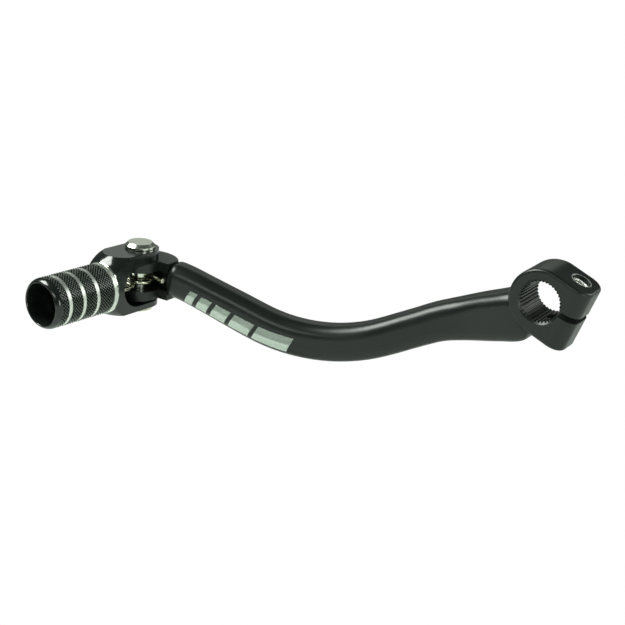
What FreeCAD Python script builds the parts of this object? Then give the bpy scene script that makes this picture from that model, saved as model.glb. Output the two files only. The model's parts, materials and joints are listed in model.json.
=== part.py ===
import FreeCAD, Part
import math
import os

# Gear shift lever with a folding tip. Millimetres.
# Frame: origin at the centre of the spline bore, bore axis along Y (-Y is the outer side of the
# motorcycle), +X from the tip towards the clamp, +Z up.

V = FreeCAD.Vector

# ---------------------------------------------------------------- driving dimensions
# clamp
bore_tip_r = 5.9            # radius on the spline tooth tips
tooth_height = 0.45
bore_root_r = bore_tip_r + tooth_height
mouth_step = 0.35           # the mouth's chamfer is this much wider than the roots
bore_mouth_r = bore_root_r + mouth_step
spline_teeth = 36
tooth_land_share = 0.38     # part of each pitch that is tooth tip land
tooth_root_share = 0.30
clamp_width = 14.0          # along the bore
boss_wall = 3.45            # from the spline roots
boss_r = bore_root_r + boss_wall
ear_tilt = 29.0             # the ears point this far below +X, degrees
ear_reach = 11.5            # from bore centre to the end of the ears, at the top
ear_rake = 1.1              # the lower ear reaches this much farther
ear_bottom = 10.3           # underside of the lower ear, from the bore centre
ear_nose_r = 4.6            # plan rounding of the ear end
clamp_edge_r = 1.0
slit_gap = 1.8
slit_lift = 0.5             # slit centre above the line through the bore centre
screw_inboard = 0.5         # pinch screw hole, from the middle of the clamp's width
screw_from_bore = 5.7       # pinch screw hole, along the ears
thread_minor_d = 5.0        # M6
screw_clear_d = 6.4

# arm
arm_width = 10.6
arm_height = 11.5
arm_corner_r = 3.9
root_width = 13.7
root_height = 15.0
arm_side_radii = [30.0, 51.0, 40.0]
arm_plan_radii = [60.0]
arm_stations = 22
arm_end_r = 2.8             # rounding of the arm's end face, behind the lugs

# hinge
pivot_x = -126.0
pivot_y = -32.2
pivot_z = -0.9
hinge_lean = 7.0            # the pin leans this far towards +X, degrees
lug_r = 6.2                 # round end and half width of the lugs
slot_half_height = 6.5      # the folding tip's slot, which the lugs fill
slot_lift = -0.4            # slot centre above the tip's axis
lug_top_gap = 0.05          # between the upper lug and the slot
lug_bottom_gap = 0.7
lug_top = slot_half_height + slot_lift - lug_top_gap
lug_bottom = slot_half_height - slot_lift - lug_bottom_gap
lug_boss_r = 4.2            # carries the lower lug on the lower ear
lug_back_r = 10.6           # the machined flats end on this arc
lug_back_x = 1.8            # centre of that arc, from the pin
lug_back_y = 0.4
pocket_top = 3.05           # spring pocket between the two lugs
pocket_bottom = 3.2
pocket_back = 5.6           # reaches this far behind the pin
pocket_along = 9.8          # and this far along the arm
arm_side_bends = [(pivot_x - 14.0, pivot_z), (pivot_x + 9.2, pivot_z), (-71.0, -24.6), (-34.3, -11.4),
                  (6.0, -3.3)]
arm_plan_bends = [(pivot_x - 14.0, pivot_y - 0.8), (-27.0, 0.0), (6.0, 0.0)]
split_x = -22.0             # the arm and the clamp end meet on this plane
pin_d = 5.0
lug_hole_clearance = 0.05   # radial running fit
ear_hole_clearance = 0.01

# folding tip
tip_sweep = 6.6             # tip leans this far towards -X at rest, degrees
yoke_top = 9.9
yoke_bottom = 8.6
yoke_half_width = 6.3       # at the shoulder
yoke_ear_r = 6.0
slot_centre = 5.8           # centre of the round slot bottom, from the pin
shoulder_at = 16.6          # where the flare meets the sleeve
flare_at = 13.6             # the flare bulges through this point
flare_r = 10.0
belly_at = 9.6
belly_r = 11.5
spigot_r = 5.0
spigot_length = 9.0
tip_end = 40.6
sleeve_r = 7.9
sleeve_wall = 1.5
sleeve_bore_r = sleeve_r - sleeve_wall
sleeve_bore_depth = 14.0
groove_width = 1.2
groove_depth = 0.25
groove_pitch = 5.5
groove_count = 3
rim_length = 4.7            # from the outermost groove to the end
last_groove_at = tip_end - rim_length
tip_chamfer = 0.9
fold_stop_gap = 0.05

# pin and its retainers
head_r = 4.75
head_face_r = 3.85
head_height = 1.85
head_chamfer = 0.95
washer_r = 4.6
washer_thickness = 0.8
clip_r = 4.4
clip_thickness = 0.7
clip_groove_r = 1.9
pin_tail = 1.0

# torsion spring
wire_d = 1.65
coil_gap = 0.425            # between the pin and the coil
coil_mean_r = pin_d / 2 + coil_gap + wire_d / 2
coil_from = 70.0            # the arm's leg leaves the coil here, degrees from +X
coil_to = 620.0
coil_pitch = 1.7
coil_start_z = 0.55
leg_reach = 8.2             # the leg that bears on the arm
hook_r = 2.0                # bend of the leg that reaches into the folding tip
hook_end = 11.2


# ---------------------------------------------------------------- helpers
def unit(v):
    w = V(v)
    w.normalize()
    return w


def bent(points, radii, x):
    """Height of a line of straight runs joined by arcs."""
    pts = [V(px, pz, 0) for px, pz in points]
    for i, r in enumerate(radii, start=1):
        a = unit(pts[i - 1] - pts[i])
        b = unit(pts[i + 1] - pts[i])
        half = math.acos(max(-1.0, min(1.0, a.dot(b)))) / 2
        run = r / math.tan(half)
        start = pts[i] + a * run
        stop = pts[i] + b * run
        centre = pts[i] + unit(a + b) * (r / math.sin(half))
        if start.x <= x <= stop.x:
            s = math.sqrt(max(r * r - (x - centre.x) ** 2, 0.0))
            return centre.y + (s if start.y > centre.y else -s)
    for p, q in zip(pts, pts[1:]):
        if p.x <= x <= q.x:
            return p.y + (q.y - p.y) * (x - p.x) / (q.x - p.x)
    return pts[-1].y


def arm_point(x):
    return V(x, bent(arm_plan_bends, arm_plan_radii, x), bent(arm_side_bends, arm_side_radii, x))


def ease(t):
    t = max(0.0, min(1.0, t))
    return t * t * (3 - 2 * t)


def rounded_section(centre, along, width, height, r):
    """Rounded rectangle square to the arm."""
    side = unit(V(0, 0, 1).cross(along))
    up = along.cross(side)

    def at(a, b):
        return centre + side * a + up * b

    w, h = width / 2, height / 2
    k = r * (1 - math.sqrt(0.5))
    corners = [(1, 1), (-1, 1), (-1, -1), (1, -1)]
    edges = []
    for i, (sx, sy) in enumerate(corners):
        if sx * sy > 0:
            p0, p1 = (sx * w, sy * (h - r)), (sx * (w - r), sy * h)
        else:
            p0, p1 = (sx * (w - r), sy * h), (sx * w, sy * (h - r))
        mid = (sx * (w - k), sy * (h - k))
        edges.append(Part.Arc(at(*p0), at(*mid), at(*p1)).toShape())
        nx, ny = corners[(i + 1) % 4]
        if nx * ny > 0:
            q0 = (nx * w, ny * (h - r))
        else:
            q0 = (nx * (w - r), ny * h)
        edges.append(Part.makeLine(at(*p1), at(*q0)))
    return Part.Wire(edges)


def placed(shape, origin, x_axis, z_axis):
    y_axis = z_axis.cross(x_axis)
    m = FreeCAD.Matrix(x_axis.x, y_axis.x, z_axis.x, origin.x,
                       x_axis.y, y_axis.y, z_axis.y, origin.y,
                       x_axis.z, y_axis.z, z_axis.z, origin.z,
                       0, 0, 0, 1)
    out = shape.copy()
    out.Placement = FreeCAD.Placement(m)
    return out


def prism(points, depth):
    """Prism along +Z from a closed outline of points in the XY plane."""
    ring = [V(*p) if len(p) == 3 else V(p[0], p[1], 0) for p in points]
    return Part.Face(Part.makePolygon(ring + [ring[0]])).extrude(V(0, 0, depth))


def turned(profile, axis):
    """Solid turned about the X or Z axis from (along, radius) points."""
    if axis == "x":
        ring = [V(a, 0, r) for a, r in profile]
        spin = V(1, 0, 0)
    else:
        ring = [V(r, 0, a) for a, r in profile]
        spin = V(0, 0, 1)
    return Part.Face(Part.makePolygon(ring + [ring[0]])).revolve(V(0, 0, 0), spin, 360)


def round_edges(shape, picked, r):
    chosen = [e for e in shape.Edges if picked(e)]
    return shape.makeFillet(r, chosen)


# ---------------------------------------------------------------- local frames
# ears: x along the ears, y = world -Y turned so that z is square to the slit
ear_c, ear_s = math.cos(math.radians(ear_tilt)), math.sin(math.radians(ear_tilt))
ear_x = V(ear_c, 0, -ear_s)
ear_z = V(ear_s, 0, ear_c)

# hinge: z along the pin, square_x towards the clamp with no part along Y
pivot = V(pivot_x, pivot_y, pivot_z)
pin_z = V(math.sin(math.radians(hinge_lean)), 0, math.cos(math.radians(hinge_lean)))
square_x = V(math.cos(math.radians(hinge_lean)), 0, -math.sin(math.radians(hinge_lean)))

# folding tip at rest: x outwards along the tip, z along the pin
sweep = math.radians(tip_sweep)
tip_x = V(0, -1, 0) * math.cos(sweep) - square_x * math.sin(sweep)


# ---------------------------------------------------------------- lever arm
def clamp_body():
    low = math.sqrt(0.5) * (boss_r + ear_bottom) / 2
    high = math.sqrt(0.5) * boss_r

    def at(a, b):
        return V(a, -clamp_width / 2, b)

    outline = [
        Part.makeLine(at(0, boss_r), at(ear_reach, boss_r)),
        Part.makeLine(at(ear_reach, boss_r), at(ear_reach + ear_rake, -ear_bottom)),
        Part.makeLine(at(ear_reach + ear_rake, -ear_bottom), at(0, -ear_bottom)),
        Part.Arc(at(0, -ear_bottom), at(-low, -low), at(-boss_r, 0)).toShape(),
        Part.Arc(at(-boss_r, 0), at(-high, high), at(0, boss_r)).toShape(),
    ]
    body = Part.Face(Part.Wire(outline)).extrude(V(0, clamp_width, 0))
    body = round_edges(body, lambda e: e.BoundBox.YLength < 1e-6 and e.BoundBox.XMin > ear_reach - 1e-6
                       and e.BoundBox.ZLength > boss_r, ear_nose_r)
    body = round_edges(body, lambda e: abs(abs(e.CenterOfMass.y) - clamp_width / 2) < 1e-6
                       or (e.BoundBox.ZLength < 1e-6 and e.CenterOfMass.x > ear_reach - ear_nose_r
                           and abs(e.CenterOfMass.y) < clamp_width / 2), clamp_edge_r)
    slit = Part.makeBox(ear_reach + 4, clamp_width + 4, slit_gap,
                        V(bore_tip_r * 0.7, -clamp_width / 2 - 2, slit_lift - slit_gap / 2))
    return body, slit


def spline_cutter():
    pitch = 360.0 / spline_teeth
    land = pitch * tooth_land_share
    root = pitch * tooth_root_share
    flank = (pitch - land - root) / 2
    y0 = -clamp_width / 2 - 2

    def at(r, deg):
        t = math.radians(deg)
        return V(r * math.cos(t), y0, r * math.sin(t))

    edges = []
    for i in range(spline_teeth):
        a = i * pitch
        edges.append(Part.Arc(at(bore_tip_r, a), at(bore_tip_r, a + land / 2),
                              at(bore_tip_r, a + land)).toShape())
        edges.append(Part.makeLine(at(bore_tip_r, a + land), at(bore_root_r, a + land + flank)))
        b = a + land + flank
        edges.append(Part.Arc(at(bore_root_r, b), at(bore_root_r, b + root / 2),
                              at(bore_root_r, b + root)).toShape())
        edges.append(Part.makeLine(at(bore_root_r, b + root), at(bore_tip_r, a + pitch)))
    cutter = Part.Face(Part.Wire(edges)).extrude(V(0, clamp_width + 4, 0))
    for sign in (-1, 1):
        mouth = Part.makeCone(bore_mouth_r + 0.4, bore_tip_r, bore_mouth_r + 0.4 - bore_tip_r,
                              V(0, sign * (clamp_width / 2 + 0.4), 0), V(0, -sign, 0))
        cutter = cutter.fuse(mouth)
    return cutter


def arm_body():
    wires = []
    x0, x1 = pivot_x + 8.0, -8.2
    for i in range(arm_stations):
        x = x0 + (x1 - x0) * i / (arm_stations - 1)
        c = arm_point(x)
        along = unit(arm_point(x + 0.5) - arm_point(x - 0.5))
        grow = ease((x + 40.0) / 30.0)
        slim = ease((-92.0 - x) / 18.0)
        width = arm_width + (root_width - arm_width) * ease((x + 32.0) / 24.0)
        height = arm_height + (root_height - arm_height) * grow - 0.7 * slim
        r = arm_corner_r
        wires.append(rounded_section(c, along, width, height, r))
    for step, inset in ((1.2, 0.35), (2.1, 1.0), (2.7, 2.0)):
        c = arm_point(x1 + step)
        along = unit(arm_point(x1 + step + 0.5) - arm_point(x1 + step - 0.5))
        wires.append(rounded_section(c, along, root_width - 0.4 * inset,
                                     root_height - 2 * inset, arm_corner_r - inset * 0.4))
    loft = Part.makeLoft(wires, True, False)
    start = arm_point(x0)
    along = unit(arm_point(x0 + 0.5) - arm_point(x0 - 0.5))
    return round_edges(loft, lambda e: abs((e.CenterOfMass - start).dot(along)) < 0.05, arm_end_r)


def make_arm():
    clamp, slit = clamp_body()
    clamp = placed(clamp, V(0, 0, 0), ear_x, ear_z)
    slit = placed(slit, V(0, 0, 0), ear_x, ear_z)
    arm = arm_body()

    # fork end, in the hinge frame: x square to the pin, y = world Y, z along the pin
    z0, height = -lug_bottom, lug_top + lug_bottom
    back = Part.makeCylinder(lug_back_r, height, V(lug_back_x, lug_back_y, z0))
    back = back.common(Part.makeBox(lug_r + 9.8, 20, height, V(-lug_r, 2.0, z0)))
    lug = Part.makeCylinder(lug_r, height, V(0, 0, z0))
    lug = lug.fuse(Part.makeBox(2 * lug_r, 4.0, height, V(-lug_r, 0, z0)))
    lug = back.fuse(lug)
    seat = slot_lift - slot_half_height + fold_stop_gap
    lug = lug.fuse(Part.makeCylinder(lug_boss_r, -lug_bottom - seat, V(0, 0, seat)))
    # rest stop: a nose on the hidden side that meets the round bottom of the yoke slot
    reach = slot_centre + slot_half_height
    nose = Part.makeBox(lug_r - 0.9, reach, lug_bottom - pocket_bottom, V(-lug_r, -reach, z0))
    keep = Part.makeBox(40, slot_centre, height, V(-20, -slot_centre, z0))
    keep = keep.fuse(Part.makeCylinder(slot_half_height - fold_stop_gap, 40,
                                       V(-20, -slot_centre, slot_lift), V(1, 0, 0)))
    nose = nose.common(keep)
    nose.Placement = FreeCAD.Placement(V(0, 0, 0), FreeCAD.Rotation(V(0, 0, 1), -tip_sweep))
    lug = placed(lug.fuse(nose), pivot, square_x, pin_z)
    body = arm.fuse(lug).fuse(clamp)

    depth = pocket_top + pocket_bottom
    trims = [
        Part.makeCylinder(lug_back_r, 8, V(lug_back_x, lug_back_y, lug_top)),
        Part.makeCylinder(lug_back_r, 8, V(lug_back_x, lug_back_y, -lug_bottom - 8)).cut(
            Part.makeCylinder(lug_boss_r, 8, V(0, 0, -lug_bottom - 8))),
        Part.makeBox(30 + pocket_along, 30 + pocket_back, depth, V(-30, -30, -pocket_bottom)),
        Part.makeCylinder(pin_d / 2 + lug_hole_clearance, 30, V(0, 0, -15)),
    ]
    for t in trims:
        body = body.cut(placed(t, pivot, square_x, pin_z))

    body = body.cut(slit)
    body = body.cut(spline_cutter())
    hole_up = Part.makeCylinder(thread_minor_d / 2, 20, V(screw_from_bore, screw_inboard, 0))
    hole_down = Part.makeCylinder(screw_clear_d / 2, 20, V(screw_from_bore, screw_inboard, -20))
    sink = Part.makeCone(thread_minor_d / 2, thread_minor_d / 2 + 0.8, 0.8,
                         V(screw_from_bore, screw_inboard, boss_r - 0.4))
    for t in (hole_up, hole_down, sink):
        body = body.cut(placed(t, V(0, 0, 0), ear_x, ear_z))
    body = body.removeSplitter()
    clamp_side = Part.makeBox(60, 60, 80, V(split_x, -30, -40))
    return body.cut(clamp_side), body.common(clamp_side)


# ---------------------------------------------------------------- folding tip
def make_yoke():
    def at(a, r):
        return V(a, 0, r)

    end = shoulder_at + spigot_length
    ring = [at(belly_at, belly_r), at(-10, belly_r), at(-10, 0), at(end, 0), at(end, spigot_r - 0.5),
            at(end - 0.5, spigot_r), at(shoulder_at, spigot_r), at(shoulder_at, sleeve_r),
            at(shoulder_at - 0.3, sleeve_r)]
    edges = [Part.makeLine(p, q) for p, q in zip(ring, ring[1:])]
    edges.append(Part.Arc(ring[-1], at(flare_at, flare_r), ring[0]).toShape())
    body = Part.Face(Part.Wire(edges)).revolve(V(0, 0, 0), V(1, 0, 0), 360)
    height = yoke_top + yoke_bottom
    far = 40
    outline = [(-0.5, -yoke_ear_r), (shoulder_at, -yoke_half_width), (far, -yoke_half_width),
               (far, yoke_half_width), (shoulder_at, yoke_half_width), (-0.5, yoke_ear_r)]
    plan = prism(outline, height)
    plan = plan.fuse(Part.makeCylinder(yoke_ear_r, height))
    plan.translate(V(0, 0, -yoke_bottom))
    spigot = Part.makeCylinder(sleeve_r, 30, V(shoulder_at - 0.3, 0, 0), V(1, 0, 0))
    body = body.common(plan.fuse(spigot))
    slot = Part.makeBox(30, 40, 2 * slot_half_height, V(slot_centre - 30, -20, slot_lift - slot_half_height))
    slot = slot.fuse(Part.makeCylinder(slot_half_height, 40, V(slot_centre, -20, slot_lift), V(0, 1, 0)))
    body = body.cut(slot)
    body = body.cut(Part.makeCylinder(pin_d / 2 + ear_hole_clearance, 40, V(0, 0, -20)))
    return placed(body, pivot, tip_x, pin_z)


def make_sleeve():
    end = tip_end
    r = sleeve_r
    profile = [(shoulder_at, spigot_r), (shoulder_at, r - 0.3), (shoulder_at + 0.3, r)]
    for i in reversed(range(groove_count)):
        g = last_groove_at - i * groove_pitch
        profile += [(g - groove_width, r), (g - groove_width + 0.15, r - groove_depth),
                    (g - 0.15, r - groove_depth), (g, r)]
    profile += [(end - tip_chamfer, r), (end, r - tip_chamfer), (end, sleeve_bore_r + 0.3),
                (end - 0.3, sleeve_bore_r), (end - sleeve_bore_depth, sleeve_bore_r),
                (end - sleeve_bore_depth - 1.0, spigot_r)]
    return placed(turned(profile, "x"), pivot, tip_x, pin_z)


# ---------------------------------------------------------------- pin, washer, clip, spring
def make_pin():
    r = pin_d / 2
    washer_face = -yoke_bottom - washer_thickness
    groove_top = washer_face
    groove_low = groove_top - clip_thickness
    tail = groove_low - pin_tail
    top = yoke_top + head_height
    profile = [(tail, 0), (tail, r - 0.4), (tail + 0.4, r), (groove_low, r), (groove_low, clip_groove_r),
               (groove_top, clip_groove_r), (groove_top, r), (yoke_top, r), (yoke_top, head_r - 0.15),
               (yoke_top + 0.15, head_r), (top - head_chamfer, head_r), (top, head_face_r), (top, 0)]
    return placed(turned(profile, "z"), pivot, tip_x, pin_z)


def make_washer():
    r = pin_d / 2 + 0.05
    z0 = -yoke_bottom - washer_thickness
    ring = turned([(z0, r), (z0, washer_r - 0.15), (z0 + 0.15, washer_r), (z0 + washer_thickness, washer_r),
                   (z0 + washer_thickness, r)], "z")
    return placed(ring, pivot, tip_x, pin_z)


def make_clip():
    z0 = -yoke_bottom - washer_thickness - clip_thickness
    t = clip_thickness
    ring = Part.makeCylinder(clip_r, t, V(0, 0, z0))
    ring = ring.cut(Part.makeCylinder(pin_d / 2 + 0.35, t, V(0, 0, z0)))
    for deg in (0, 120, 240):
        pad = Part.makeBox(clip_r - clip_groove_r - 0.4, 1.5, t, V(clip_groove_r, -0.75, z0))
        pad.rotate(V(0, 0, 0), V(0, 0, 1), deg)
        ring = ring.fuse(pad)
    ring = ring.cut(Part.makeCylinder(clip_groove_r, t, V(0, 0, z0)))
    ring = ring.cut(Part.makeBox(clip_r + 1, 2.6, t, V(-clip_r - 1, -1.3, z0)))
    return placed(ring.removeSplitter(), pivot, tip_x, pin_z)


def make_spring():
    def on_coil(deg):
        t = math.radians(deg)
        drop = coil_pitch * (deg - coil_from) / 360
        return V(coil_mean_r * math.cos(t), coil_mean_r * math.sin(t), coil_start_z - drop)

    steps = int((coil_to - coil_from) / 15)
    coil = [on_coil(coil_from + (coil_to - coil_from) * i / steps) for i in range(steps + 1)]
    t = math.radians(coil_from)
    out = V(math.sin(t), -math.cos(t), 0)
    leg = [coil[0] + out * (leg_reach * k / 4) for k in (4, 3, 2, 1)]
    t = math.radians(coil_to)
    bend = V((coil_mean_r + hook_r) * math.cos(t), (coil_mean_r + hook_r) * math.sin(t), coil[-1].z)
    turn = math.degrees(math.atan2(-math.sin(t), -math.cos(t)))
    hook = []
    for share in (0.25, 0.5, 0.75, 1.0):
        a = math.radians(turn * (1 - share))
        hook.append(bend + V(hook_r * math.cos(a), hook_r * math.sin(a), 0))
    for depth in (7.2, 9.2, hook_end):
        hook.append(V(bend.x + hook_r, -depth, bend.z))
    line = Part.BSplineCurve()
    line.interpolate(leg + coil + hook)
    path = Part.Wire(line.toShape())
    start = line.value(line.FirstParameter)
    tan = line.tangent(line.FirstParameter)[0]
    ring = Part.Wire(Part.makeCircle(wire_d / 2, start, tan))
    wire = path.makePipeShell([ring], True, False)
    return placed(wire, pivot, square_x, pin_z)


arm, clamp_end = make_arm()
parts = [
    ("lever_arm", arm),
    ("clamp_end", clamp_end),
    ("tip_yoke", make_yoke()),
    ("tip_sleeve", make_sleeve()),
    ("pivot_pin", make_pin()),
    ("pin_washer", make_washer()),
    ("pin_circlip", make_clip()),
    ("torsion_spring", make_spring()),
]

os.makedirs("parts", exist_ok=True)
for name, shape in parts:
    if len(shape.Solids) == 1:
        shape = shape.Solids[0]
    shape.exportStep(os.path.join("parts", name + ".step"))
    box = shape.BoundBox
    print(name, shape.isValid(), len(shape.Solids), round(shape.Volume, 1),
          [round(v, 1) for v in (box.XMin, box.XMax, box.YMin, box.YMax, box.ZMin, box.ZMax)])
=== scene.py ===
# %% [markdown]
# # A motorcycle gear shift lever with a folding foot peg
#
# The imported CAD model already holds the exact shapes: the long forged arm with its splined
# clamp, the forked end of the folding tip, the pin, and the spring. This notebook loads that
# model as a fixed frame, gives every part a real finish, and adds what solids leave out: the
# diamond knurl, the bare bright rings, the screw thread and the printed mark.

import json
import math

import bmesh
import bpy
from mathutils import Matrix, Vector
from mathutils.bvhtree import BVHTree


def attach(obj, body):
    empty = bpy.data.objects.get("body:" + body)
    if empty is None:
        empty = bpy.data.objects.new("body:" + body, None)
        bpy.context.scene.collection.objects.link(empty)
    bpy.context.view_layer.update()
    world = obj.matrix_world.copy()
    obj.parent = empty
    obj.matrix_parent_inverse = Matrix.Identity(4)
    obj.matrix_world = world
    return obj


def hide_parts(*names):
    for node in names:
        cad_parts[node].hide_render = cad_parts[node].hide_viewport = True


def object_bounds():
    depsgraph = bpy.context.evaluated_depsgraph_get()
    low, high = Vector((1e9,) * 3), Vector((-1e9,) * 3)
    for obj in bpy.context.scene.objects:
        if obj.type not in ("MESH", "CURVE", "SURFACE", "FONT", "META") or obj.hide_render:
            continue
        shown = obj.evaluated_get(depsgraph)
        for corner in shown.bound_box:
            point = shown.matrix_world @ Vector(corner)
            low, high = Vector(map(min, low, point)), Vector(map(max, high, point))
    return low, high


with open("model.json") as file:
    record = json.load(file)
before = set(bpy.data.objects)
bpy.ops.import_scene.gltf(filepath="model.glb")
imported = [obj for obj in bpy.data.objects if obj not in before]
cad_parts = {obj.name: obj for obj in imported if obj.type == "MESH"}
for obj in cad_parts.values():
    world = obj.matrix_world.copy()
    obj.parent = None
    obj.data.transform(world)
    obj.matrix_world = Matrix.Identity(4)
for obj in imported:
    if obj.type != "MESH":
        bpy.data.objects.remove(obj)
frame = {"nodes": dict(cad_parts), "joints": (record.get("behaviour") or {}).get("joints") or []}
cad_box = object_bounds()

# %% [markdown]
# ## Where the folding tip points
#
# The tip hangs on a leaning pin. Every piece of it is easiest to describe in its own directions:
# outwards along the peg, sideways, and along the pin. The pin's place and lean come from the
# record's joint; the peg's own direction is a small sweep away from square.

# %% Directions of the folding tip
MM = 0.001
fold = [j for j in frame["joints"] if j["name"] == "fold"][0]
pivot = Vector(fold["pos_m"])
pin_up = Vector(fold["axis"]).normalized()
square = Vector((pin_up.z, 0, -pin_up.x))
tip_sweep = math.radians(6.6)
peg_out = (Vector((0, -1, 0)) * math.cos(tip_sweep) - square * math.sin(tip_sweep)).normalized()
peg_side = pin_up.cross(peg_out)
peg_place = Matrix((peg_out, peg_side, pin_up)).transposed().to_4x4()
peg_place.translation = pivot
print("peg points", tuple(round(v, 3) for v in peg_out))

# %% [markdown]
# ## Camera
#
# The lever is seen from its outer side, a third of a turn round towards the clamp and a little
# from above, with a long lens so that its two ends keep almost the same scale.

# %% Camera
target = Vector((-81.57, 0.0, -15.52)) * MM
turn, rise, roll = (math.radians(a) for a in (32.88, 16.35, -1.87))
distance = 443.9 * MM
back = Vector((math.sin(turn) * math.cos(rise), -math.cos(turn) * math.cos(rise), math.sin(rise)))
level = Vector((math.cos(turn), math.sin(turn), 0))
over = back.cross(level)
cam_x = level * math.cos(roll) + over * math.sin(roll)
cam_y = over * math.cos(roll) - level * math.sin(roll)
camera = bpy.data.objects.new("camera", bpy.data.cameras.new("camera"))
bpy.context.scene.collection.objects.link(camera)
camera_place = Matrix((cam_x, cam_y, back)).transposed().to_4x4()
camera_place.translation = target + back * distance
camera.matrix_world = camera_place
camera.data.sensor_width = 36.0
camera.data.lens = 79.0
camera.data.clip_start = 0.01
bpy.context.scene.camera = camera
print("camera at", tuple(round(v, 3) for v in camera.location))

# %% [markdown]
# ## Studio
#
# Black anodised metal shows almost nothing but reflections, so the lights are large and few: a
# soft box high on the far left draws the long streak along the arm's rounded edge, a strip on
# the right lights the end of the clamp, one behind on the right lights the polished tip from
# behind, and a dim surround keeps the flat faces dark. The
# surround and the floor are plain white where the lens sees them directly.

# %% Lights, surround and floor
bpy.context.scene.view_settings.view_transform = "Standard"
middle = Vector((-62.0, -18.0, -8.0)) * MM


def soft_box(name, direction, away, width, height, power, tint=(0.94, 1.0, 0.93)):
    light = bpy.data.lights.new(name, "AREA")
    light.shape = "RECTANGLE"
    light.size, light.size_y = width, height
    light.energy = power
    light.color = tint
    obj = bpy.data.objects.new(name, light)
    bpy.context.scene.collection.objects.link(obj)
    obj.location = middle + Vector(direction).normalized() * away
    obj.rotation_euler = (middle - obj.location).to_track_quat("-Z", "Y").to_euler()
    print(name, "at", tuple(round(v, 2) for v in obj.location))
    return obj


soft_box("key_box", (-0.52, -0.28, 0.81), 0.9, 0.50, 0.42, 9.0)
soft_box("front_box", (0.30, -0.90, 0.55), 1.1, 0.5, 0.25, 1.6)
soft_box("right_strip", (0.92, -0.27, -0.05), 0.8, 0.22, 0.5, 2.2)
soft_box("back_box", (-0.45, 0.8, 0.42), 1.0, 0.8, 0.35, 0.42)
soft_box("right_back_box", (0.66, 0.68, 0.33), 1.0, 0.55, 0.42, 2.6)


def seen_white(tree, dim, output, kind):
    """Join a dim shader with a white one that only the lens sees directly."""
    path = tree.nodes.new("ShaderNodeLightPath")
    mix = tree.nodes.new("ShaderNodeMixShader")
    white = tree.nodes.new(kind)
    white.inputs["Color"].default_value = (1, 1, 1, 1)
    tree.links.new(path.outputs["Is Camera Ray"], mix.inputs["Fac"])
    tree.links.new(dim, mix.inputs[1])
    tree.links.new(white.outputs[0], mix.inputs[2])
    tree.links.new(mix.outputs[0], output)
    return white


world = bpy.data.worlds.new("studio")
bpy.context.scene.world = world
world.use_nodes = True
tree = world.node_tree
tree.nodes.clear()
surround = tree.nodes.new("ShaderNodeBackground")
surround.inputs["Color"].default_value = (0.075, 0.088, 0.080, 1)
world_out = tree.nodes.new("ShaderNodeOutputWorld")
seen_white(tree, surround.outputs[0], world_out.inputs["Surface"], "ShaderNodeBackground")

bm = bmesh.new()
bmesh.ops.create_grid(bm, x_segments=2, y_segments=2, size=3.0)
floor_mesh = bpy.data.meshes.new("floor")
bm.to_mesh(floor_mesh)
bm.free()
floor = bpy.data.objects.new("floor", floor_mesh)
bpy.context.scene.collection.objects.link(floor)
floor.location = (0, 0, cad_box[0][2] - 0.03)

# %% [markdown]
# ## A helper for finishes
#
# Each finish is a small node tree on one Principled shader. The helper makes the shader and
# sets its plain values, and returns the nodes so that a finish can add its own grain.

# %% Finish helpers
def new_finish(name, color, metallic=0.0, roughness=0.4, ior=1.5, coat=0.0, coat_rough=0.1):
    mat = bpy.data.materials.new(name)
    mat.use_nodes = True
    nodes, links = mat.node_tree.nodes, mat.node_tree.links
    shader = nodes["Principled BSDF"]
    shader.inputs["Base Color"].default_value = (*color, 1)
    shader.inputs["Metallic"].default_value = metallic
    shader.inputs["Roughness"].default_value = roughness
    shader.inputs["IOR"].default_value = ior
    shader.inputs["Coat Weight"].default_value = coat
    shader.inputs["Coat Roughness"].default_value = coat_rough
    return mat, nodes, links, shader


def noise(nodes, links, scale, detail=3.0):
    where = nodes.new("ShaderNodeTexCoord")
    tex = nodes.new("ShaderNodeTexNoise")
    tex.inputs["Scale"].default_value = scale
    tex.inputs["Detail"].default_value = detail
    links.new(where.outputs["Object"], tex.inputs["Vector"])
    return tex


def ramp(nodes, links, source, low, high, start=0.35, stop=0.65):
    r = nodes.new("ShaderNodeValToRGB")
    r.color_ramp.elements[0].position = start
    r.color_ramp.elements[1].position = stop
    r.color_ramp.elements[0].color = (*low, 1)
    r.color_ramp.elements[1].color = (*high, 1)
    links.new(source, r.inputs["Fac"])
    return r


def bump(nodes, links, source, shader, strength, depth):
    b = nodes.new("ShaderNodeBump")
    b.inputs["Strength"].default_value = strength
    b.inputs["Distance"].default_value = depth
    links.new(source, b.inputs["Height"])
    links.new(b.outputs["Normal"], shader.inputs["Normal"])
    return b


# %% [markdown]
# ## Satin black anodising on the arm
#
# The forging is bead blasted before it is anodised, so its surface has a very fine even grain
# that spreads reflections into soft streaks, and its black drifts a little in tone.

# %% Satin black
satin, nodes, links, shader = new_finish("satin_black", (0.009, 0.012, 0.0105), 0.0, 0.34, 1.5)
grain = noise(nodes, links, 5200.0, 2.0)
bump(nodes, links, grain.outputs["Fac"], shader, 0.25, 0.00004)
cloud = noise(nodes, links, 60.0, 3.0)
tone = ramp(nodes, links, cloud.outputs["Fac"], (0.006, 0.0088, 0.0076), (0.009, 0.0125, 0.011))
links.new(tone.outputs["Color"], shader.inputs["Base Color"])
blur = ramp(nodes, links, cloud.outputs["Fac"], (0.30, 0.30, 0.30), (0.37, 0.37, 0.37))
links.new(blur.outputs["Color"], shader.inputs["Roughness"])
print("satin black for the forging")

# %% [markdown]
# ## Gloss black on the folding tip
#
# The tip is turned and milled from bar and anodised without blasting, so it mirrors its
# surroundings. Its rim, where it meets the peg's sleeve, was faced after anodising and is bare.
# The bare zone is found by how far out along the peg a point lies.

# %% Gloss black, with a bare rim
SHOULDER = 16.6 * MM
BARE_RIM = 0.45 * MM


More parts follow.
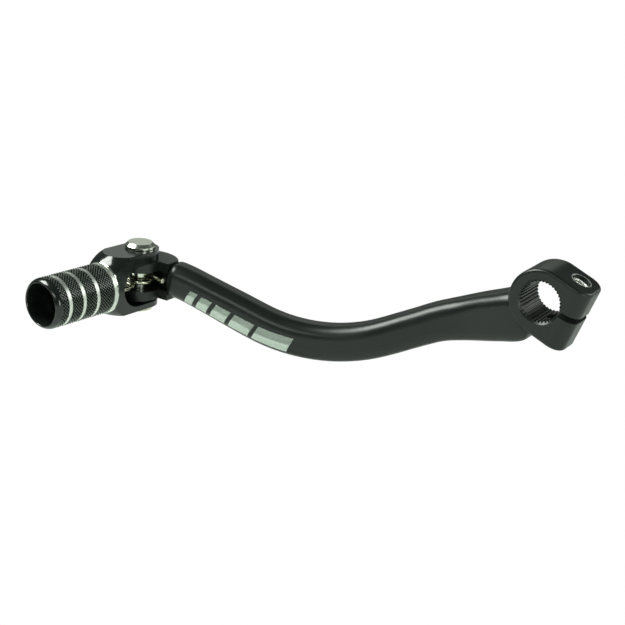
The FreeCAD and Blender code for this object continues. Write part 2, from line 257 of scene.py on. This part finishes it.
def along_peg(nodes, links):
    """A value in metres: how far out from the pin a point lies, along the peg."""
    where = nodes.new("ShaderNodeTexCoord")
    dot = nodes.new("ShaderNodeVectorMath")
    dot.operation = "DOT_PRODUCT"
    dot.inputs[1].default_value = peg_out
    links.new(where.outputs["Object"], dot.inputs[0])
    shift = nodes.new("ShaderNodeMath")
    shift.operation = "SUBTRACT"
    shift.inputs[1].default_value = pivot.dot(peg_out)
    links.new(dot.outputs["Value"], shift.inputs[0])
    return shift.outputs["Value"]


BARE = (0.86, 0.90, 0.84)
GLOSS = (0.008, 0.011, 0.0098)
gloss_rim, nodes, links, shader = new_finish("gloss_black_bare_rim", GLOSS, 0.0, 0.13, 1.6)
far = along_peg(nodes, links)
edge = nodes.new("ShaderNodeMath")
edge.operation = "GREATER_THAN"
edge.inputs[1].default_value = SHOULDER - BARE_RIM
links.new(far, edge.inputs[0])
paint = ramp(nodes, links, edge.outputs["Value"], GLOSS, BARE, 0.4, 0.6)
links.new(paint.outputs["Color"], shader.inputs["Base Color"])
links.new(edge.outputs["Value"], shader.inputs["Metallic"])
haze = noise(nodes, links, 1400.0, 2.0)
bump(nodes, links, haze.outputs["Fac"], shader, 0.05, 0.00002)

gloss, nodes, links, shader = new_finish("gloss_black", GLOSS, 0.0, 0.16, 1.6)
haze = noise(nodes, links, 1400.0, 2.0)
bump(nodes, links, haze.outputs["Fac"], shader, 0.05, 0.00002)
tone = ramp(nodes, links, haze.outputs["Fac"], (0.007, 0.010, 0.009), (0.010, 0.013, 0.0118))
links.new(tone.outputs["Color"], shader.inputs["Base Color"])
print("gloss black, bare over the last", round(BARE_RIM / MM, 2), "mm before the sleeve")

# %% [markdown]
# ## Bare metals
#
# The pin head is turned, so it carries fine circular tool marks. Rings of a wave texture, centred
# on the pin's own axis by a Mapping node, give those marks. The peg's bare rings have a fine even
# grain instead, and the spring is drawn wire, slightly yellower. The knurl's flat tops carry a painted
# highlight: their colour is paler than the grooves between them, in place of the light they catch.
# The printed mark and the floor are finished here too.

# %% Turned and drawn metal
BANDS_PER_SCALE = 3.2


def turned_metal(name, color, rough, place, pitch, depth):
    mat, nodes, links, shader = new_finish(name, color, 1.0, rough)
    where = nodes.new("ShaderNodeTexCoord")
    mapping = nodes.new("ShaderNodeMapping")
    undo = place.inverted()
    mapping.inputs["Location"].default_value = undo.translation
    mapping.inputs["Rotation"].default_value = undo.to_euler()
    wave = nodes.new("ShaderNodeTexWave")
    wave.wave_type = "RINGS"
    wave.rings_direction = "Z"
    wave.inputs["Scale"].default_value = 1.0 / pitch / BANDS_PER_SCALE
    wave.inputs["Distortion"].default_value = 0.6
    links.new(where.outputs["Object"], mapping.inputs["Vector"])
    links.new(mapping.outputs["Vector"], wave.inputs["Vector"])
    bump(nodes, links, wave.outputs["Fac"], shader, 0.12, depth)
    worn = noise(nodes, links, 700.0, 3.0)
    tone = ramp(nodes, links, worn.outputs["Fac"], tuple(c * 0.93 for c in color), color)
    links.new(tone.outputs["Color"], shader.inputs["Base Color"])
    return mat


pin_place = Matrix((square, pin_up.cross(square), pin_up)).transposed().to_4x4()
pin_place.translation = pivot
stainless = turned_metal("stainless", (0.78, 0.81, 0.73), 0.22, pin_place, 0.16 * MM, 0.000006)

bright, nodes, links, shader = new_finish("bare_aluminium", BARE, 1.0, 0.42)
marks = noise(nodes, links, 2600.0, 2.0)
bump(nodes, links, marks.outputs["Fac"], shader, 0.10, 0.00003)
tone = ramp(nodes, links, marks.outputs["Fac"], (0.88, 0.91, 0.86), (0.97, 0.99, 0.95))
links.new(tone.outputs["Color"], shader.inputs["Base Color"])

spring_steel, nodes, links, shader = new_finish("spring_wire", (0.60, 0.60, 0.47), 1.0, 0.24)
draw = noise(nodes, links, 900.0, 3.0)
bump(nodes, links, draw.outputs["Fac"], shader, 0.08, 0.00003)
tone = ramp(nodes, links, draw.outputs["Fac"], (0.50, 0.50, 0.38), (0.72, 0.72, 0.58))
links.new(tone.outputs["Color"], shader.inputs["Base Color"])

ink, nodes, links, shader = new_finish("grey_ink", (0.66, 0.74, 0.67), 0.0, 0.5)
speck = noise(nodes, links, 1500.0, 2.0)
tone = ramp(nodes, links, speck.outputs["Fac"], (0.61, 0.69, 0.62), (0.70, 0.78, 0.71))
links.new(tone.outputs["Color"], shader.inputs["Base Color"])

# Painted highlight: the knurl's flat tops get a paler grey base colour, in random patches, in place of
# the light that the crests catch.
crest, nodes, links, shader = new_finish("knurl_crest_painted_highlight", (0.12, 0.15, 0.13), 0.0, 0.3)
crest_highlight_noise = noise(nodes, links, 420.0, 3.0)
tone = ramp(nodes, links, crest_highlight_noise.outputs["Fac"], (0.07, 0.09, 0.075), (0.20, 0.24, 0.205))
links.new(tone.outputs["Color"], shader.inputs["Base Color"])

pale, nodes, links, shader = new_finish("pale_floor", (0.80, 0.84, 0.80), 0.0, 0.9)
out = nodes["Material Output"]
seen_white(pale.node_tree, shader.outputs[0], out.inputs["Surface"], "ShaderNodeEmission")
floor.data.materials.append(pale)


def dress(node, material):
    obj = frame["nodes"][node]
    obj.data.materials.clear()
    obj.data.materials.append(material)


dress("lever_arm", satin)
dress("clamp_end", satin)
dress("tip_yoke", gloss_rim)
dress("pivot_pin", stainless)
dress("pin_washer", stainless)
dress("pin_circlip", spring_steel)
dress("torsion_spring", spring_steel)
print("finishes:", [m.name for m in bpy.data.materials])

# %% [markdown]
# ## A helper for pieces
#
# Most new pieces are drawn in millimetres in handy directions, then moved to their real place and
# size inside the mesh, so that the object can stay at the origin. The printed bars are drawn in
# place. Edges that bend little are shaded smooth, and sharper ones stay crisp.

# %% Piece helper
def add_piece(name, bm, materials, body, place=None, smooth_below=30.0):
    """Make a finished piece from a bmesh in millimetres, or in place if no place is given."""
    if place is not None:
        bmesh.ops.scale(bm, vec=(MM, MM, MM), verts=bm.verts)
        bmesh.ops.transform(bm, matrix=place, verts=bm.verts)
    for face in bm.faces:
        face.smooth = smooth_below > 0
    for e in bm.edges:
        e.smooth = len(e.link_faces) == 2 and e.calc_face_angle(0) < math.radians(smooth_below)
    mesh = bpy.data.meshes.new(name)
    bm.to_mesh(mesh)
    bm.free()
    for material in materials:
        mesh.materials.append(material)
    obj = bpy.data.objects.new(name, mesh)
    bpy.context.scene.collection.objects.link(obj)
    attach(obj, body)
    print(name, "has", len(mesh.polygons), "faces")
    return obj


# %% [markdown]
# ## The peg's sleeve
#
# The sleeve is lathe work, so it is made the way a lathe makes it: a half profile is spun once
# round the peg's axis. The profile is drawn in millimetres as distance out from the pin and
# radius. Where the knurl goes, the surface sits a little low; the rings between are bare metal.

# %% Sleeve profile
KNURL_FLOOR = 7.58
CREST = 7.9
OUTSIDE = 6.9
EASE = 0.05
TURN_STEPS = 144
WELD = 1e-4
RING_FLOOR = 7.68
RING_WIDTH = 1.2
RING_ENDS = (24.9, 30.4, 35.9)
FIRST_BAND = 17.9
LAST_BAND_END = 38.4

profile = [(16.6, 5.0), (16.6, 7.6), (16.85, 7.87), (17.8, 7.87), (FIRST_BAND, KNURL_FLOOR)]
bare = [1, 2, 3]
for ring_end in RING_ENDS:
    ring_start = ring_end - RING_WIDTH
    profile += [(ring_start - EASE, KNURL_FLOOR), (ring_start, RING_FLOOR),
                (ring_end, RING_FLOOR), (ring_end + EASE, KNURL_FLOOR)]
    bare += [len(profile) - 4, len(profile) - 3, len(profile) - 2]
profile += [(LAST_BAND_END, KNURL_FLOOR), (LAST_BAND_END + EASE, 7.84), (39.0, 7.84), (39.5, 7.70),
            (39.95, 7.46), (40.3, 7.18), (40.53, 6.92), (40.6, 6.76), (40.54, 6.60), (40.35, 6.48),
            (40.1, 6.42), (26.6, 6.4), (25.6, 5.0)]
print("sleeve profile has", len(profile), "points")

# %% Spin the sleeve
bm = bmesh.new()
ring = [bm.verts.new((out, 0, r)) for out, r in profile]
edges = [bm.edges.new((ring[i], ring[(i + 1) % len(ring)])) for i in range(len(ring))]
bmesh.ops.spin(bm, geom=ring + edges, cent=(0, 0, 0), axis=(1, 0, 0), angle=math.tau, steps=TURN_STEPS,
               use_merge=True)
bmesh.ops.remove_doubles(bm, verts=bm.verts, dist=WELD)
bmesh.ops.recalc_face_normals(bm, faces=bm.faces)
spans = [(profile[i][0], profile[i + 1][0]) for i in bare]
for face in bm.faces:
    mid = face.calc_center_median()
    outside = math.hypot(mid.y, mid.z) > OUTSIDE
    if outside and any(min(s) - 1e-3 <= mid.x <= max(s) + 1e-3 for s in spans):
        face.material_index = 1
sleeve = add_piece("peg_sleeve", bm, [gloss, bright], "tip", peg_place)
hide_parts("tip_sleeve")

# %% [markdown]
# ## The diamond knurl
#
# A knurling tool rolls two sets of crossing grooves, which leaves small blunt pyramids. A flat
# grid turned by 45 degrees already has the diamonds; an individual inset raises each into a
# pyramid with a small flat top. The strip is trimmed to the band's width, rolled round the
# sleeve, and welded where its ends meet. The knurl is real geometry because its bumps show
# against the background along the peg's lower edge.

# %% Knurl bands
DIAMONDS_ROUND = 46
DIAMOND_LENGTH = 1.02
FLANK = 0.20
SPARE = 1.6
TUCK = 0.06


def knurl_band(name, start, stop):
    width = stop - start
    round_length = math.tau * CREST
    step_round = round_length / DIAMONDS_ROUND
    cells = DIAMONDS_ROUND + int(width / DIAMOND_LENGTH) + 4
    bm = bmesh.new()
    bmesh.ops.create_grid(bm, x_segments=cells, y_segments=cells, size=cells / 2)
    bmesh.ops.rotate(bm, cent=(0, 0, 0), matrix=Matrix.Rotation(math.pi / 4, 3, "Z"), verts=bm.verts)
    half = math.sqrt(0.5)
    bmesh.ops.scale(bm, vec=(DIAMOND_LENGTH * half, step_round * half, 1), verts=bm.verts)
    trims = [((-width / 2 - SPARE, 0, 0), (-1, 0, 0)), ((width / 2 + SPARE, 0, 0), (1, 0, 0))]
    for co, no in trims:
        bmesh.ops.bisect_plane(bm, geom=bm.verts[:] + bm.edges[:] + bm.faces[:], plane_co=co,
                               plane_no=no, clear_outer=True)
    whole = [f for f in bm.faces if len(f.verts) == 4]
    bmesh.ops.inset_individual(bm, faces=whole, thickness=FLANK, depth=CREST - KNURL_FLOOR,
                               use_even_offset=True)
    # The flat tops take the paler crest finish, which is a painted highlight.
    for face in whole:
        face.material_index = 1
    trims = [((-width / 2, 0, 0), (-1, 0, 0)), ((width / 2, 0, 0), (1, 0, 0)),
             ((0, -round_length / 2, 0), (0, -1, 0)), ((0, round_length / 2, 0), (0, 1, 0))]
    for co, no in trims:
        bmesh.ops.bisect_plane(bm, geom=bm.verts[:] + bm.edges[:] + bm.faces[:], plane_co=co,
                               plane_no=no, clear_outer=True, dist=1e-5)
    lift = 1.0 if max(v.co.z for v in bm.verts) > 0.01 else -1.0
    for v in bm.verts:
        at_end = abs(abs(v.co.x) - width / 2) < 1e-3
        r = KNURL_FLOOR - TUCK if at_end else KNURL_FLOOR + 0.01 + lift * v.co.z
        a = v.co.y / CREST
        v.co = Vector((start + width / 2 + v.co.x, r * math.cos(a), r * math.sin(a)))
    bmesh.ops.remove_doubles(bm, verts=bm.verts, dist=2e-3)
    bmesh.ops.recalc_face_normals(bm, faces=bm.faces)
    bm.faces.ensure_lookup_table()
    tall = max(bm.faces, key=lambda f: math.hypot(*f.calc_center_median()[1:]))
    mid = tall.calc_center_median()
    if tall.normal.dot(Vector((0, mid.y, mid.z))) < 0:
        bmesh.ops.reverse_faces(bm, faces=bm.faces)
    band = add_piece(name, bm, [gloss, crest], "tip", peg_place, smooth_below=0)
    return band


starts = [FIRST_BAND] + [e + EASE for e in RING_ENDS]
stops = [e - RING_WIDTH - EASE for e in RING_ENDS] + [LAST_BAND_END]
for i, (start, stop) in enumerate(zip(starts, stops)):
    knurl_band(f"knurl_{i + 1}", start, stop)

# %% [markdown]
# ## The tapped hole
#
# The upper ear's hole is tapped after anodising, so its thread is bare and catches the light.
# A small tooth is swept three turns with a screw motion: a spin that also travels along the
# hole. A bare ring lines the countersink at its mouth.

# %% Thread and mouth ring
EAR_TILT = 29.0
HOLE_ALONG = 5.7
HOLE_INBOARD = 0.5
tilt = math.radians(EAR_TILT)
ear_out = Vector((math.cos(tilt), 0, -math.sin(tilt)))
ear_up = Vector((math.sin(tilt), 0, math.cos(tilt)))
hole_place = Matrix((ear_out, ear_up.cross(ear_out), ear_up)).transposed().to_4x4()
hole_place.translation = (ear_out * HOLE_ALONG + Vector((0, HOLE_INBOARD, 0))) * MM

THREAD_TOP = 9.35
THREAD_PITCH = 1.0
THREAD_TURNS = 3
STEPS_A_TURN = 40
bm = bmesh.new()
tooth = [(2.495, 0.0), (2.27, 0.42), (2.27, 0.58), (2.495, 1.0)]
base = THREAD_TOP - THREAD_PITCH * (THREAD_TURNS + 1)
verts = [bm.verts.new((r, 0, base + z)) for r, z in tooth]
edges = [bm.edges.new(pair) for pair in zip(verts, verts[1:])]
bmesh.ops.spin(bm, geom=verts + edges, cent=(0, 0, 0), axis=(0, 0, 1), angle=math.tau * THREAD_TURNS,
               dvec=(0, 0, THREAD_PITCH / STEPS_A_TURN), steps=STEPS_A_TURN * THREAD_TURNS)
bmesh.ops.remove_doubles(bm, verts=bm.verts, dist=WELD)
bmesh.ops.recalc_face_normals(bm, faces=bm.faces)
bm.faces.ensure_lookup_table()
probe = bm.faces[len(bm.faces) // 2]
mid = probe.calc_center_median()
if probe.normal.dot(Vector((mid.x, mid.y, 0))) > 0:
    bmesh.ops.reverse_faces(bm, faces=bm.faces)
thread = add_piece("hole_thread", bm, [bright], "arm", hole_place)

bm = bmesh.new()
lip = [(2.50, 9.38), (2.90, 9.79), (2.94, 9.82), (3.20, 9.82), (3.20, 9.78), (2.96, 9.76), (2.54, 9.34)]
verts = [bm.verts.new((r, 0, z)) for r, z in lip]
edges = [bm.edges.new((verts[i], verts[(i + 1) % len(verts)])) for i in range(len(verts))]
bmesh.ops.spin(bm, geom=verts + edges, cent=(0, 0, 0), axis=(0, 0, 1), angle=math.tau, steps=64,
               use_merge=True)
bmesh.ops.remove_doubles(bm, verts=bm.verts, dist=WELD)
bmesh.ops.recalc_face_normals(bm, faces=bm.faces)
mouth = add_piece("hole_mouth", bm, [bright], "arm", hole_place)

# %% [markdown]
# ## The printed mark
#
# The arm's outer face carries a pale print. Here it is a plain pattern of slanted bars, which
# says nothing. Each bar is a fine flat grid, sheared, then dropped onto the arm's curved face
# with a ray for each vertex. It is lifted rather more than ink is thick, so that the arm's facets
# don't show through.

# %% Print the bars
arm_skin = frame["nodes"]["lever_arm"]
tree_bm = bmesh.new()
tree_bm.from_mesh(arm_skin.data)
skin = BVHTree.FromBMesh(tree_bm)
tree_bm.free()
TOWARDS = Vector((0, 1, 0))
AHEAD = -0.1


def face_middle(x):
    """Middle height of the arm's outer face at x, found with a row of rays."""
    hits = [z for z in (k * 0.25 * MM for k in range(-140, 40))
            if skin.ray_cast(Vector((x, AHEAD, z)), TOWARDS)[0] is not None]
    return (min(hits) + max(hits)) / 2


MARK_FROM, MARK_TO = -109.5 * MM, -77.5 * MM
MARK_HALF = 2.6 * MM
MARK_DROP = 1.3 * MM
SLANT = 0.55
INK = 0.06 * MM
BAR_CELL = 0.4 * MM
stations = [MARK_FROM + (MARK_TO - MARK_FROM) * i / 40 for i in range(-6, 47)]
heights = [face_middle(x) for x in stations]


def middle_at(x):
    f = (x - stations[0]) / (stations[1] - stations[0])
    i = max(0, min(len(stations) - 2, int(f)))
    return heights[i] + (heights[i + 1] - heights[i]) * (f - i)


def printed_bar(name, start, stop, low, high):
    bm = bmesh.new()
    columns = max(4, int((stop - start) / BAR_CELL))
    bmesh.ops.create_grid(bm, x_segments=columns, y_segments=12, size=0.5)
    for v in bm.verts:
        up = low + (high - low) * (v.co.y + 0.5)
        x = start + (stop - start) * (v.co.x + 0.5) + SLANT * up
        z = middle_at(x) - MARK_DROP + up
        hit, normal, _, _ = skin.ray_cast(Vector((x, AHEAD, z)), TOWARDS)
        v.co = hit + normal * INK
    bmesh.ops.solidify(bm, geom=bm.faces[:], thickness=INK * 0.8)
    bmesh.ops.recalc_face_normals(bm, faces=bm.faces)
    bar = add_piece(name, bm, [ink], "arm")
    return bar


length = MARK_TO - MARK_FROM
bars = [(0.00, 0.07), (0.11, 0.21), (0.25, 0.39), (0.43, 0.62), (0.66, 1.00)]
for i, (a, b) in enumerate(bars):
    printed_bar(f"print_{i + 1}", MARK_FROM + a * length, MARK_FROM + b * length, -MARK_HALF, MARK_HALF)
